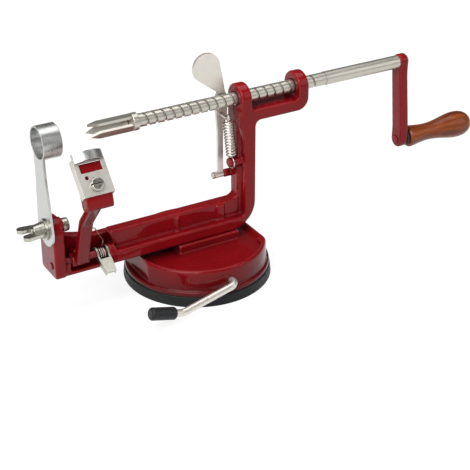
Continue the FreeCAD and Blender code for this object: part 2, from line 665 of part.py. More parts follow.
def handle():
    """Turned wooden handle, free to spin on its spindle."""
    start = CRANK_X + CRANK_LEAN + CRANK_T + HANDLE_START
    axis_z = SHAFT_Z - CRANK_THROW
    length = HANDLE_L
    profile = [
        (0.0, HANDLE_COLLAR_R - 1.0),
        (1.2, HANDLE_COLLAR_R),
        (0.1 * length, HANDLE_COLLAR_R - 0.4),
        (0.3 * length, HANDLE_NECK_R),
        (0.55 * length, HANDLE_NECK_R + 1.6),
        (0.8 * length, HANDLE_BULB_R),
        (0.93 * length, HANDLE_BULB_R - 2.2),
        (length, 0.0),
    ]
    points = [vec(start + s, 0, axis_z + r) for s, r in profile]
    curve = Part.BSplineCurve()
    curve.interpolate(points[1:], InitialTangent=vec(1, 0, 0), FinalTangent=vec(0, 0, -1))
    edges = [
        Part.LineSegment(vec(start, 0, axis_z), points[0]).toShape(),
        Part.LineSegment(points[0], points[1]).toShape(),
        curve.toShape(),
        Part.LineSegment(points[-1], vec(start, 0, axis_z)).toShape(),
    ]
    face = Part.Face(Part.Wire(edges))
    body = face.revolve(vec(start, 0, axis_z), vec(1, 0, 0), 360)
    bore = x_rod(SPINDLE_R + RUN_CLEAR, start - 1, start + 0.8 * length + 0.5, 0, axis_z)
    save("wood_handle", body.cut(bore))


def release_lever():
    """Flat strip with a thumb spoon, a tooth in the thread, a spring hook and a rolled eye."""
    y0, y1 = LEVER_BACK_Y, LEVER_BACK_Y + STRIP_T
    eye_y = LEVER_BACK_Y + STRIP_T / 2
    eye_x1 = STRIP_X + STRIP_HALF
    eye_x0 = eye_x1 - LEVER_EYE_L
    neck_z = SHAFT_Z + 5.5
    spoon = tapered_link(
        vec(0, 1, 0), STRIP_T, vec(SPOON_X, y0, SPOON_Z), SPOON_R, vec(STRIP_X + 0.8, y0, neck_z), 2.6
    )
    strip = plate_xz(
        [
            (STRIP_X - STRIP_HALF, LEVER_PIVOT_Z, 0),
            (STRIP_X - STRIP_HALF, SHAFT_Z - 25, 8),
            (STRIP_X - 3.2, SHAFT_Z - 10, 4),
            (STRIP_X - 3.4, SHAFT_Z + 1, 3),
            (STRIP_X - 1.2, neck_z, 0),
            (STRIP_X + 3.0, neck_z, 0),
            (STRIP_X + 5.2, SHAFT_Z + 1, 3),
            (STRIP_X + 5.2, SHAFT_Z - 12, 5),
            (STRIP_X + STRIP_HALF, SHAFT_Z - 25, 8),
            (STRIP_X + STRIP_HALF, LEVER_PIVOT_Z, 0),
        ],
        y0,
        y1,
    )
    eye = x_rod(LEVER_EYE_R, eye_x0, eye_x1, eye_y, LEVER_PIVOT_Z)
    body = strip.fuse([spoon, eye])
    # The groove crosses the back of the shaft every pitch; the tooth sits in the one nearest the strip.
    first = THREAD_START_X + GROOVE_START + BACK_PHASE * PITCH
    tooth_x = first + round((STRIP_X + 1 - first) / PITCH) * PITCH
    width = 1.0 - THREAD_CLEAR
    tip_y = THREAD_R - GROOVE_DEPTH + THREAD_CLEAR + 0.1
    tooth = Part.Face(
        Part.makePolygon(
            [
                vec(tooth_x - width, y0 + 0.5, SHAFT_Z - 0.5),
                vec(tooth_x + width, y0 + 0.5, SHAFT_Z - 0.5),
                vec(tooth_x + 0.25, tip_y, SHAFT_Z - 0.5),
                vec(tooth_x - 0.25, tip_y, SHAFT_Z - 0.5),
                vec(tooth_x - width, y0 + 0.5, SHAFT_Z - 0.5),
            ]
        )
    ).extrude(vec(0, 0, 1.0))
    body = body.fuse(tooth)
    body = body.cut(x_rod(LEVER_PIN_R + RUN_CLEAR, eye_x0 - 1, eye_x1 + 1, eye_y, LEVER_PIVOT_Z))
    tab_z = HOOK_Z
    tab = box(STRIP_X + HOOK_DX - 1.6, STRIP_X + HOOK_DX + 1.6, HOOK_Y - 1.5, y0 + 0.5, tab_z - 0.6, tab_z + 0.6)
    hole_x = STRIP_X + HOOK_DX
    hole = rod(LEVER_SPRING_WIRE + 0.3, vec(hole_x, HOOK_Y, tab_z - 3), vec(hole_x, HOOK_Y, tab_z + 3))
    save("release_lever", body.fuse(tab).cut(hole))
    pin = x_rod(LEVER_PIN_R, eye_x0 - SEAT_GAP, POST_X - 6, eye_y, LEVER_PIVOT_Z)
    head = x_rod(LEVER_PIN_R + 1.1, eye_x0 - SEAT_GAP - 1.2, eye_x0 - SEAT_GAP, eye_y, LEVER_PIVOT_Z)
    save("lever_pin", pin.fuse(rounded(head, 0.5, on_plane("x", eye_x0 - SEAT_GAP - 1.2))))


def lever_spring():
    """Extension spring from the stud on the post to the lever's tab, with a loop at each end."""
    stud_x = POST_WEB_X - SPRING_STUD_L * 0.64
    low_loop_r = SPRING_STUD_R + LEVER_SPRING_WIRE + 0.1
    hook_y = HOOK_Y - HOOK_R
    low = vec(stud_x, SPRING_STUD_Y, SPRING_STUD_Z + low_loop_r + 0.8)
    high = vec(STRIP_X + HOOK_DX, hook_y, HOOK_Z - HOOK_R - 0.8)
    run = high - low
    turn = FreeCAD.Rotation(vec(0, 0, 1), run)
    pitch = run.Length / LEVER_SPRING_TURNS
    coil = spring_wire(LEVER_SPRING_R, LEVER_SPRING_WIRE, pitch, run.Length, low, turn)
    radius = turn.multVec(vec(LEVER_SPRING_R, 0, 0))
    low_top = vec(stud_x, SPRING_STUD_Y, SPRING_STUD_Z + low_loop_r)
    low_loop = Part.makeTorus(low_loop_r, LEVER_SPRING_WIRE, vec(stud_x, SPRING_STUD_Y, SPRING_STUD_Z), vec(1, 0, 0))
    hook_centre = vec(STRIP_X + HOOK_DX, hook_y, HOOK_Z)
    hook = Part.makeTorus(HOOK_R, LEVER_SPRING_WIRE, hook_centre, vec(1, 0, 0))
    hook_join = math.radians(30)
    high_low = hook_centre - vec(0, math.sin(hook_join), math.cos(hook_join)) * HOOK_R
    thin = LEVER_SPRING_WIRE * 0.85
    links = [link(low + radius, low_top, thin), link(high + radius, high_low, thin)]
    body = coil
    for piece in (links[0], links[1], low_loop, hook):
        body = body.fuse(piece)
    save("lever_spring", body)


def link(start, end, radius):
    """A short straight piece of spring wire with round ends, just thinner than the rings it joins."""
    return rod(radius, start, end).fuse([Part.makeSphere(radius, start), Part.makeSphere(radius, end)])


def slicer():
    """Slicer plate with the ring that cuts the core."""
    x1 = END_X
    x0 = x1 - SLICER_T
    outer = CORER_R_IN + CORER_T
    lean = (0 - BOLT_Y) / (SHAFT_Z - BOLT_Z)
    waist_y = BOLT_Y + lean * (SLICER_WAIST_Z - BOLT_Z)
    foot = tapered_link(
        vec(1, 0, 0),
        SLICER_T,
        vec(x0, BOLT_Y, BOLT_Z),
        SLICER_LOW_R,
        vec(x0, waist_y, SLICER_WAIST_Z),
        SLICER_HIGH_R,
    )
    neck = tapered_link(
        vec(1, 0, 0),
        SLICER_T,
        vec(x0, waist_y, SLICER_WAIST_Z),
        SLICER_HIGH_R,
        vec(x0, 0, SHAFT_Z),
        SLICER_HIGH_R - 0.01,
    )
    ring = x_rod(outer, x0, x0 + CORER_L, 0, SHAFT_Z)
    body = foot.fuse([neck, ring]).cut(x_rod(CORER_R_IN, x0 - 1, x0 + CORER_L + 1, 0, SHAFT_Z))
    edge = [e for e in body.Edges if on_plane("x", x0 + CORER_L)(e) and abs(e.BoundBox.YMax - outer) < 0.01]
    body = body.makeChamfer(0.6, edge)
    save("corer_slicer", body.cut(x_rod(BOLT_R + RUN_CLEAR, x0 - 1, x1 + 1, BOLT_Y, BOLT_Z)))


def slicer_fixing():
    """Bolt through the end post, with its washer and wing nut outside the slicer."""
    head_x0 = END_X + END_T + BOLT_BOSS_L
    head_x1 = head_x0 + 4.4
    head = rounded(x_rod(BOLT_HEAD_R, head_x0, head_x1, BOLT_Y, BOLT_Z), 1.2, on_plane("x", head_x1))
    shank_x0 = END_X - BOLT_L
    shank = x_rod(BOLT_R, shank_x0, head_x0, BOLT_Y, BOLT_Z)
    shank = shank.makeChamfer(0.6, [e for e in shank.Edges if on_plane("x", shank_x0)(e)])
    save("slicer_bolt", head.fuse(shank))
    face = END_X - SLICER_T
    bore = BOLT_R + RUN_CLEAR
    washer_x = face - WASHER_T
    save("slicer_washer", tube(WASHER_R, bore, vec(washer_x, BOLT_Y, BOLT_Z), vec(face, BOLT_Y, BOLT_Z)))
    hub = Part.makeCone(NUT_R, NUT_R - 1.2, NUT_L, vec(washer_x, BOLT_Y, BOLT_Z), vec(-1, 0, 0))
    body = hub
    for side in (1, -1):
        root = vec(washer_x - 3.6, BOLT_Y + side * (NUT_R - 1.2), BOLT_Z - WING_T / 2)
        tip = root + vec(-WING_L, side * WING_SPREAD, 0)
        body = body.fuse(tapered_link(vec(0, 0, 1), WING_T, root, 3.2, tip, 2.9))
    save("wing_nut", body.cut(x_rod(bore, washer_x - 30, washer_x + 1, BOLT_Y, BOLT_Z)))


def arm_pin():
    body = x_rod(ARM_PIN_R, END_X - 0.8, POCKET_RIGHT_X + 3.5, ARM_PIN_Y, ARM_PIN_Z)
    save("arm_pin", rounded(body, 0.6, on_plane("x", END_X - 0.8)))


def carrier_place():
    """Placement of the blade carrier: X along the frame, Y along the carrier, Z out of it."""
    y, z = CARRIER_FRONT
    return FreeCAD.Placement(vec(ARM_X, y, z), FreeCAD.Rotation(vec(1, 0, 0), PEEL_TILT))


def peel_arm():
    """Cast arm with its hub on the pin and a head for the blade carrier."""
    x0, x1 = ARM_X - ARM_W / 2, ARM_X + ARM_W / 2
    hub_x0, hub_x1 = ARM_X - ARM_HUB_W / 2, ARM_X + ARM_HUB_W / 2
    arm = rounded(band_yz(ARM_PATH, ARM_T, 14, x0, x1), ARM_EDGE_R, on_plane("x", x0, x1))
    hub = x_rod(ARM_HUB_R - SEAT_GAP, hub_x0, hub_x1, ARM_PIN_Y, ARM_PIN_Z)
    lug = box(x0, x1, ARM_PATH[0][0] - 1, ARM_PIN_Y, ARM_PIN_Z - 2, ARM_PIN_Z + 8)
    front_y, front_z = CARRIER_FRONT
    slope = math.radians(PEEL_TILT)
    back_y, back_z = front_y + HEAD_L * math.cos(slope), front_z + HEAD_L * math.sin(slope)
    head = plate_yz(
        [
            (front_y, front_z, 0),
            (back_y, back_z, 0),
            (back_y + 4.4, back_z - 7.6, 1.5),
            (front_y + 5.8, front_z - 11.8, 2.5),
            (front_y - 2.2, front_z - 8.8, 2.4),
        ],
        ARM_X - HEAD_W / 2,
        ARM_X + HEAD_W / 2,
    )
    tongue_half = HEAD_W / 2 - 1.0
    tongue_end = CARRIER_L - WINDOW_END
    tongue = box(-tongue_half, tongue_half, HEAD_L - 1, tongue_end, -TONGUE_T, 0)
    tongue.Placement = carrier_place()
    body = arm.fuse([hub, lug, head, tongue])
    screw_hole = rod(PEEL_SCREW_R * 0.5, vec(0, PEEL_SCREW_Y, -5), vec(0, PEEL_SCREW_Y, 1))
    screw_hole.Placement = carrier_place()
    body = body.cut(screw_hole)
    save("peel_arm", body.cut(x_rod(ARM_PIN_R + RUN_CLEAR, hub_x0 - 1, hub_x1 + 1, ARM_PIN_Y, ARM_PIN_Z)))


def blade_carrier():
    """Bent sheet channel that holds the blade."""
    half = HEAD_W / 2 + CARRIER_T
    body = box(-half, half, 0, CARRIER_L, 0, CARRIER_T)
    for x in (-half, half - CARRIER_T):
        body = body.fuse(box(x, x + CARRIER_T, 0, CARRIER_L, -CARRIER_FLANGE, CARRIER_T))
    body = body.cut(box(-half + 3.0, half - 3.0, WINDOW_Y, CARRIER_L - WINDOW_END, -1, CARRIER_T + 1))
    body = body.cut(rod(PEEL_SCREW_R * 0.5, vec(0, PEEL_SCREW_Y, -2), vec(0, PEEL_SCREW_Y, 3)))
    body = body.cut(rod(1.3, vec(-4.6, 11.8, -2), vec(-4.6, 11.8, 3)))
    body.Placement = carrier_place()
    save("blade_carrier", body)
    top = CARRIER_T + 2.6
    head = rod(PEEL_SCREW_R, vec(0, PEEL_SCREW_Y, CARRIER_T), vec(0, PEEL_SCREW_Y, top))
    head = rounded(head, 1.4, on_plane("z", top))
    head = head.cut(box(-9, 9, PEEL_SCREW_Y - 0.5, PEEL_SCREW_Y + 0.5, CARRIER_T + 1.5, top + 1))
    screw = head.fuse(rod(PEEL_SCREW_R * 0.5, vec(0, PEEL_SCREW_Y, -5), vec(0, PEEL_SCREW_Y, CARRIER_T)))
    screw.Placement = carrier_place()
    save("carrier_screw", screw)


def peel_blade():
    """Arched blade across the carrier's free end."""
    half = HEAD_W / 2 + CARRIER_T
    rise = 4.4
    y0, y1 = CARRIER_L - 3.2, CARRIER_L + 2.8
    low = CARRIER_T
    outer = Part.Arc(vec(-half, y0, low), vec(0, y0, low + rise), vec(half, y0, low)).toShape()
    inner = Part.Arc(vec(half - 1.2, y0, low), vec(0, y0, low + rise - 0.9), vec(-half + 1.2, y0, low)).toShape()
    ends = [
        Part.LineSegment(vec(half, y0, low), vec(half - 1.2, y0, low)).toShape(),
        Part.LineSegment(vec(-half + 1.2, y0, low), vec(-half, y0, low)).toShape(),
    ]
    wire = Part.Wire(Part.__sortEdges__([outer, inner] + ends))
    body = extruded(wire, vec(0, y1 - y0, 0))
    body.Placement = carrier_place()
    save("peel_blade", body)


def arm_spring():
    """Torsion spring round the pin, inside the latch, with a leg that hooks behind the arm."""
    start_x = POCKET_RIGHT_X - SEAT_GAP - LATCH_W + LATCH_T + SEAT_GAP + ARM_SPRING_WIRE
    length = LATCH_W - 2 * LATCH_T - 2 * SEAT_GAP - 2 * ARM_SPRING_WIRE
    turn = FreeCAD.Rotation(vec(0, 1, 0), 90)
    place = vec(start_x, ARM_PIN_Y, ARM_PIN_Z)
    pitch = length / ARM_SPRING_TURNS
    body = spring_wire(ARM_SPRING_R, ARM_SPRING_WIRE, pitch, length, place, turn)
    last = vec(start_x + length, ARM_PIN_Y + ARM_SPRING_R, ARM_PIN_Z)
    for point in ARM_SPRING_LEG:
        body = body.fuse(link(last, vec(*point), ARM_SPRING_WIRE * 0.9))
        last = vec(*point)
    save("arm_spring", body)


def arm_latch():
    """Bent thumb tab that turns on the arm's pin."""
    x0 = POCKET_RIGHT_X - SEAT_GAP - LATCH_W
    x1 = x0 + LATCH_W
    inner_r = ARM_PIN_R + RUN_CLEAR
    down = math.radians(LATCH_SLOPE)
    cheeks = []
    for x in (x0, x1 - LATCH_T):
        cheek = x_rod(ARM_HUB_R - 0.8, x, x + LATCH_T, 0, 0)
        cheek = cheek.fuse(box(x, x + LATCH_T, -LATCH_L, 0, -LATCH_DEPTH / 2, LATCH_DEPTH / 2))
        cheeks.append(cheek)
    plate = box(x0, x1, -LATCH_L, -ARM_SPRING_R - 3.0, LATCH_DEPTH / 2 - LATCH_T, LATCH_DEPTH / 2)
    body = cheeks[0].fuse([cheeks[1], plate])
    body = body.cut(x_rod(inner_r, x0 - 1, x1 + 1, 0, 0))
    for side, edge in ((-1, x0), (1, x1)):
        outline = [
            vec(edge + side, -LATCH_L - 1, -20),
            vec(edge - side * LATCH_TAPER, -LATCH_L - 1, -20),
            vec(edge, -LATCH_L * 0.5, -20),
            vec(edge + side, -LATCH_L * 0.5, -20),
        ]
        body = body.cut(extruded(Part.makePolygon(outline + outline[:1]), vec(0, 0, 40)))
    body.rotate(vec(0, 0, 0), vec(1, 0, 0), math.degrees(down))
    body.translate(vec(0, ARM_PIN_Y, ARM_PIN_Z))
    save("arm_latch", body)


frame_casting()
base_dome()
base_screws()
suction_pad()
lift_stud()
suction_lever()
feed_screw()
shaft_sleeve()
fruit_fork()
crank()
handle()
release_lever()
lever_spring()
slicer()
slicer_fixing()
arm_pin()
peel_arm()
blade_carrier()
peel_blade()
arm_spring()
arm_latch()
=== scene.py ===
import json
import math

import bmesh
import bpy
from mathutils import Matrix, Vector


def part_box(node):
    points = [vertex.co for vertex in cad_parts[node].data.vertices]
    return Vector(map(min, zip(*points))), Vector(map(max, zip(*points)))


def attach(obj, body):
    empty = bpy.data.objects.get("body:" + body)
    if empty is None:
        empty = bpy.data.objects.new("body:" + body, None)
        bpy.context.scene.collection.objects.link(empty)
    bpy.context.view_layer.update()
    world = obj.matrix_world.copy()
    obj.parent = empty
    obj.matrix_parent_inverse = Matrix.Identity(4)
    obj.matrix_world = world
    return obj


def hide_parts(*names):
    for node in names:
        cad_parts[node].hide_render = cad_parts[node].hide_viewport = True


bl_info = {
    "name": "Apple Peeler Corer",
    "version": (1, 0, 0),
    "blender": (4, 5, 0),
    "location": "3D View > Sidebar > Peeler",
    "description": "Finishes and studio for a cast apple peeler, corer and slicer",
    "category": "Object",
}

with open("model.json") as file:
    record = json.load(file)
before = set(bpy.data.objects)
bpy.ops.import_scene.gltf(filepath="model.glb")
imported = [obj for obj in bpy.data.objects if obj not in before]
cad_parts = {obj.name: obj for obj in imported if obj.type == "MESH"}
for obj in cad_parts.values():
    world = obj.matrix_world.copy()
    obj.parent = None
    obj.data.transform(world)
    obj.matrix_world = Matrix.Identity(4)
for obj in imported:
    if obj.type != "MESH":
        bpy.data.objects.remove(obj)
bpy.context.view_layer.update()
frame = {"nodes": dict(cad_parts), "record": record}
NODES = frame["nodes"]
BODY_OF = {
    node: body for body, nodes in frame["record"]["behaviour"]["bodies"].items() for node in nodes
}
SHAFT_LOW, SHAFT_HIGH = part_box("feed_screw")
SHAFT_Z = (SHAFT_LOW[2] + SHAFT_HIGH[2]) / 2
SLEEVE_LOW, SLEEVE_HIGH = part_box("shaft_sleeve")
SLEEVE_R = (SLEEVE_HIGH[2] - SLEEVE_LOW[2]) / 2

# Which finish each piece of the tool has
CASTINGS = ("frame_casting", "base_dome", "peel_arm", "crank_arm")
ENAMELLED_PINS = ("arm_pin", "handle_spindle")
TURNED = ("feed_screw", "shaft_sleeve", "fruit_fork")
ZINC_PLATED = (
    "wing_nut",
    "slicer_washer",
    "slicer_bolt",
    "lever_pin",
    "base_screw_left",
    "base_screw_right",
    "carrier_screw",
    "lift_stud",
)
SHEET_METAL = ("release_lever", "blade_carrier")
GROUND_STEEL = ("corer_slicer", "peel_blade")
SPRINGS = ("lever_spring", "arm_spring")

# Shares, and lengths in metres
WELD = 0.000001  # points nearer than this are one
SMOOTH_PULL = 0.5  # how far each round of smoothing moves a point
SATIN = 0.8  # share of the satin plating that mirrors
FOOT_SHADE = 0.75  # how much of the painted shade the foot's lower edge takes
FOOT_SHADE_LOW, FOOT_SHADE_HIGH = 0.010, 0.029  # heights where that shade ends

# How far from a corner each finish's painted shade still reaches
ENAMEL_SHADE_REACH = 0.013
PLATE_SHADE_REACH = 0.003
GROOVE_SHADE_REACH = 0.0016
BLADE_REACH = 0.004
WOOD_REACH = 0.005
SPRING_REACH = 0.0015

# Rounding of the edges
FINE_SOFTNESS = 0.0003
BLADE_SOFTNESS = 0.00025
RUBBER_SOFTNESS = 0.0006

# Height of the relief
ENAMEL_WAVES = 0.0006
LATHE_LINES = 0.000008
GRINDING_LINES = 0.00002
WOOD_GRAIN = 0.00008
SCREW_MARKS = 0.000003
ROD_MARKS = 0.000002
ZINC_MARKS = 0.000008
SHEET_MARKS = 0.00002
LATCH_MARKS = 0.000006
SPACER_GRAIN = 0.00001
RUBBER_GRAIN = 0.00004
PLASTIC_GRAIN = 0.00003


class Finish:
    """A material and the short ways to add nodes to it."""

    def __init__(self, name):
        self.material = bpy.data.materials.new(name)
        self.material.use_nodes = True
        self.tree = self.material.node_tree
        self.shader = self.tree.nodes["Principled BSDF"]
        place = self.tree.nodes.new("ShaderNodeTexCoord")
        self.place = place.outputs["Object"]

    def node(self, kind, **values):
        """A new node with those properties."""
        made = self.tree.nodes.new(kind)
        for name, value in values.items():
            setattr(made, name, value)
        return made

    def link(self, source, target):
        self.tree.links.new(source, target)

    def set(self, **values):
        """Plain numbers and colours, straight on the shader."""
        for name, value in values.items():
            self.shader.inputs[name.replace("_", " ")].default_value = value

    def stretched(self, scale):
        """The object's coordinates, scaled along each axis."""
        mapping = self.node("ShaderNodeMapping")
        self.link(self.place, mapping.inputs["Vector"])
        mapping.inputs["Scale"].default_value = scale
        return mapping.outputs["Vector"]

    def noise(self, per_metre, detail=2.0, rough=0.5, where=None, warp=0.0):
        """Cloudy grey values around one half."""
        noise = self.node("ShaderNodeTexNoise")
        self.link(where or self.place, noise.inputs["Vector"])
        noise.inputs["Scale"].default_value = per_metre
        noise.inputs["Detail"].default_value = detail
        noise.inputs["Roughness"].default_value = rough
        noise.inputs["Distortion"].default_value = warp
        return noise.outputs["Fac"]

    def spread(self, source, low, high, start=0.3, end=0.7):
        """Stretches a grey value from start..end to low..high."""
        span = self.node("ShaderNodeMapRange")
        self.link(source, span.inputs["Value"])
        limits = {"From Min": start, "From Max": end, "To Min": low, "To Max": high}
        for name, value in limits.items():
            span.inputs[name].default_value = value
        return span.outputs["Result"]

    def ramp(self, source, *stops):
        """A grey value turned into colours; each stop is a place and a colour."""
        ramp = self.node("ShaderNodeValToRGB")
        elements = ramp.color_ramp.elements
        while len(elements) < len(stops):
            elements.new(0.5)
        for element, (place, colour) in zip(elements, stops):
            element.position = place
            element.color = (*colour, 1.0)
        self.link(source, ramp.inputs["Fac"])
        return ramp.outputs["Color"]

    def mix(self, factor, a, b, blend="MIX"):
        """Mixes two colours; each is a socket or three numbers, and factor a socket or a number."""
        mix = self.node("ShaderNodeMix", data_type="RGBA", blend_type=blend)
        sockets = [s for s in mix.inputs if s.type == "RGBA"]
        for socket, value in zip(sockets, (a, b)):
            if isinstance(value, bpy.types.NodeSocket):
                self.link(value, socket)
            else:
                socket.default_value = (*value, 1.0)
        if isinstance(factor, bpy.types.NodeSocket):
            self.link(factor, mix.inputs["Factor"])
        else:
            mix.inputs["Factor"].default_value = factor
        return [s for s in mix.outputs if s.type == "RGBA"][0]

    def crevices(self, reach):
        """0 in corners and under neighbours, 1 in the open."""
        node = self.node("ShaderNodeAmbientOcclusion", samples=8)
        node.inputs["Distance"].default_value = reach
        return node.outputs["AO"]

    def edges(self, low, high, start, end):
        """How hollow or sharp the shape is, from start..end to low..high; flat is 0.5."""
        shape = self.node("ShaderNodeNewGeometry")
        return self.spread(shape.outputs["Pointiness"], low, high, start, end)

    def soft_edges(self, radius):
        """A surface direction that turns softly over the edges."""
        bevel = self.node("ShaderNodeBevel", samples=6)
        bevel.inputs["Radius"].default_value = radius
        return bevel.outputs["Normal"]

    def bump(self, source, height, below=None):
        """Adds relief of that height in metres over the relief below it."""
        bump = self.node("ShaderNodeBump")
        bump.inputs["Distance"].default_value = height
        bump.inputs["Strength"].default_value = 1.0
        self.link(source, bump.inputs["Height"])
        if below is not None:
            self.link(below, bump.inputs["Normal"])
        return bump.outputs["Normal"]


def colour_of(value):
    """A setting's colour as three plain numbers."""
    return tuple(value)[:3]


def tone(colour, factor):
    """The colour made lighter or darker."""
    return tuple(c * factor for c in colour)


def cast_copy(name, voxel, rounds, keep):
    """The node's shape as cast metal: even small faces, smoothed so that edges turn softly."""
    mesh = NODES[name].data.copy()
    mesh.materials.clear()
    welded = bmesh.new()
    welded.from_mesh(mesh)
    bmesh.ops.remove_doubles(welded, verts=welded.verts, dist=WELD)
    welded.to_mesh(mesh)
    welded.free()
    rough = bpy.data.objects.new(name + "_rough", mesh)
    bpy.context.scene.collection.objects.link(rough)
    remesh = rough.modifiers.new("even", "REMESH")
    remesh.mode = "VOXEL"
    remesh.voxel_size = voxel
    smooth = rough.modifiers.new("soft", "SMOOTH")
    smooth.factor = SMOOTH_PULL
    smooth.iterations = rounds
    lighter = rough.modifiers.new("lighter", "DECIMATE")
    lighter.ratio = keep
    graph = bpy.context.evaluated_depsgraph_get()
    shape = bpy.data.meshes.new_from_object(rough.evaluated_get(graph))
    bpy.data.objects.remove(rough)
    for face in shape.polygons:
        face.use_smooth = True
    piece = bpy.data.objects.new(name + "_cast", shape)
    bpy.context.scene.collection.objects.link(piece)
    return piece


def open_bore(piece, centre_y, centre_z, radius, x_low, x_high):
    """Keeps a bore along X clear after the smoothing."""
    for vertex in piece.data.vertices:
        x, y, z = vertex.co
        across = math.hypot(y - centre_y, z - centre_z)
        if x_low < x < x_high and 0 < across < radius:
            vertex.co.y = centre_y + (y - centre_y) * radius / across
            vertex.co.z = centre_z + (z - centre_z) * radius / across


def coat_nodes(names, material):
    """Gives the nodes that material alone."""
    for name in names:
        piece = NODES[name]
        piece.data.materials.clear()
        piece.data.materials.append(material)


class EnamelSettings(bpy.types.PropertyGroup):
    colour: bpy.props.FloatVectorProperty(
        name="Enamel",
        description="Colour of the enamel",
        subtype="COLOR",
        size=3,
        default=(0.265, 0.0045, 0.0075),
    )
    # Painted shade: a darker red put into corners, creases and the foot's lower edge, where shade
    # falls.
    painted_shade: bpy.props.FloatVectorProperty(
        name="Painted shade",
        description="Colour of the painted shade in corners",
        subtype="COLOR",
        size=3,
        default=(0.07, 0.0015, 0.003),
    )
    # Painted highlight: a pale pink put on convex edges, where light catches them.
    painted_highlight: bpy.props.FloatVectorProperty(
        name="Painted highlight",
        description="Colour of the painted highlight on edges",
        subtype="COLOR",
        size=3,
        default=(0.46, 0.075, 0.080),
    )
    voxel: bpy.props.FloatProperty(
        name="Face size",
        description="Size of the faces of the cast shapes",
        unit="LENGTH",
        default=0.00055,
    )
    rounds: bpy.props.IntProperty(
        name="Softness", description="How often the cast shapes are smoothed", default=7
    )
    keep: bpy.props.FloatProperty(
        name="Faces kept",
        description="Share of the cast shapes' faces kept",
        subtype="FACTOR",
        default=0.4,
    )
    bore_play: bpy.props.FloatProperty(
        name="Bore play",
        description="Enamel-free gap round the sleeve",
        unit="LENGTH",
        default=0.00022,
    )
    sand_grain: bpy.props.FloatProperty(
        name="Sand grain",
        description="Depth of the casting's grain under the enamel",
        unit="LENGTH",
        default=0.00012,
    )


class MetalSettings(bpy.types.PropertyGroup):
    nickel: bpy.props.FloatVectorProperty(
        name="Nickel",
        description="Colour of the nickel plate",
        subtype="COLOR",
        size=3,
        default=(0.58, 0.55, 0.485),
    )
    zinc: bpy.props.FloatVectorProperty(
        name="Zinc",
        description="Colour of the plated hardware",
        subtype="COLOR",
        size=3,
        default=(0.52, 0.50, 0.44),
    )
    steel: bpy.props.FloatVectorProperty(
        name="Steel",
        description="Colour of the ground blades",
        subtype="COLOR",
        size=3,
        default=(0.62, 0.63, 0.61),
    )
    sheet: bpy.props.FloatVectorProperty(
        name="Sheet",
        description="Colour of the bent sheet parts",
        subtype="COLOR",
        size=3,
        default=(0.78, 0.745, 0.675),
    )
    latch: bpy.props.FloatVectorProperty(
        name="Latch",
        description="Colour of the latch",
        subtype="COLOR",
        size=3,
        default=(0.50, 0.50, 0.43),
    )
    # Painted shade: a dark colour put into the metal's corners, grooves and between spring turns,
    # where shade falls.
    corner_shade: bpy.props.FloatVectorProperty(
        name="Corner shade",
        description="Colour of the painted shade in the metal's corners",
        subtype="COLOR",
        size=3,
        default=(0.10, 0.085, 0.06),
    )


class WoodSettings(bpy.types.PropertyGroup):
    light: bpy.props.FloatVectorProperty(
        name="Light grain",
        description="Early wood",
        subtype="COLOR",
        size=3,
        default=(0.31, 0.068, 0.011),
    )
    dark: bpy.props.FloatVectorProperty(
        name="Dark grain",
        description="Late wood",
        subtype="COLOR",
        size=3,
        default=(0.15, 0.027, 0.0055),
    )


class RubberSettings(bpy.types.PropertyGroup):
    pad: bpy.props.FloatVectorProperty(
        name="Pad",
        description="Colour of the suction pad",
        subtype="COLOR",
        size=3,
        default=(0.008, 0.009, 0.0095),
    )
    grip: bpy.props.FloatVectorProperty(
        name="Grip",
        description="Colour of the lever's grip",
        subtype="COLOR",
        size=3,
        default=(0.016, 0.017, 0.018),
    )


class StageSettings(bpy.types.PropertyGroup):
    floor_size: bpy.props.FloatProperty(
        name="Floor size", description="Side of the floor", unit="LENGTH", default=12.0
    )
    lens: bpy.props.FloatProperty(
        name="Lens", description="Focal length in millimetres", default=99.03
    )


def enamel_finish(settings):
    """Glossy red enamel over cast iron, with painted shade in the corners and creases and towards
    the foot's lower edge, and a painted highlight on the edges.
    """
    f = Finish("red_enamel")
    colour = colour_of(settings.colour)
    tint = f.spread(f.noise(38, detail=3), 0.0, 1.0)
    body = f.mix(tint, tone(colour, 0.86), tone(colour, 1.12))
    painted_shade = colour_of(settings.painted_shade)
    # Painted shade: the enamel turns to the shade colour in corners, under neighbouring parts and
    # in hollow creases.
    corner = f.spread(f.crevices(ENAMEL_SHADE_REACH), 0.0, 1.0, start=0.15, end=0.85)
    deep = f.mix(corner, painted_shade, body)
    hollow = f.edges(0.75, 0.0, 0.44, 0.495)
    # Painted shade: the enamel turns darker towards the foot's lower edge.
    height = f.node("ShaderNodeSeparateXYZ")
    f.link(f.place, height.inputs[0])
    foot = f.spread(height.outputs["Z"], FOOT_SHADE, 0.0, FOOT_SHADE_LOW, FOOT_SHADE_HIGH)
    shaded_enamel = f.mix(hollow, f.mix(foot, deep, painted_shade), painted_shade)
    # Painted highlight: convex edges turn to a pale pink.
    rim = f.edges(0.0, 0.65, 0.515, 0.58)
    f.link(f.mix(rim, shaded_enamel, colour_of(settings.painted_highlight)), f.shader.inputs["Base Color"])
    f.link(f.spread(f.noise(220, detail=3), 0.22, 0.36), f.shader.inputs["Roughness"])
    f.set(Specular_IOR_Level=0.05, Coat_Weight=0.58, Coat_Roughness=0.035, Coat_IOR=1.36)
    grain = f.bump(f.noise(420, detail=4, rough=0.6), settings.sand_grain)
    waves = f.bump(f.noise(70, detail=2), ENAMEL_WAVES, grain)
    f.link(waves, f.shader.inputs["Normal"])
    return f.material


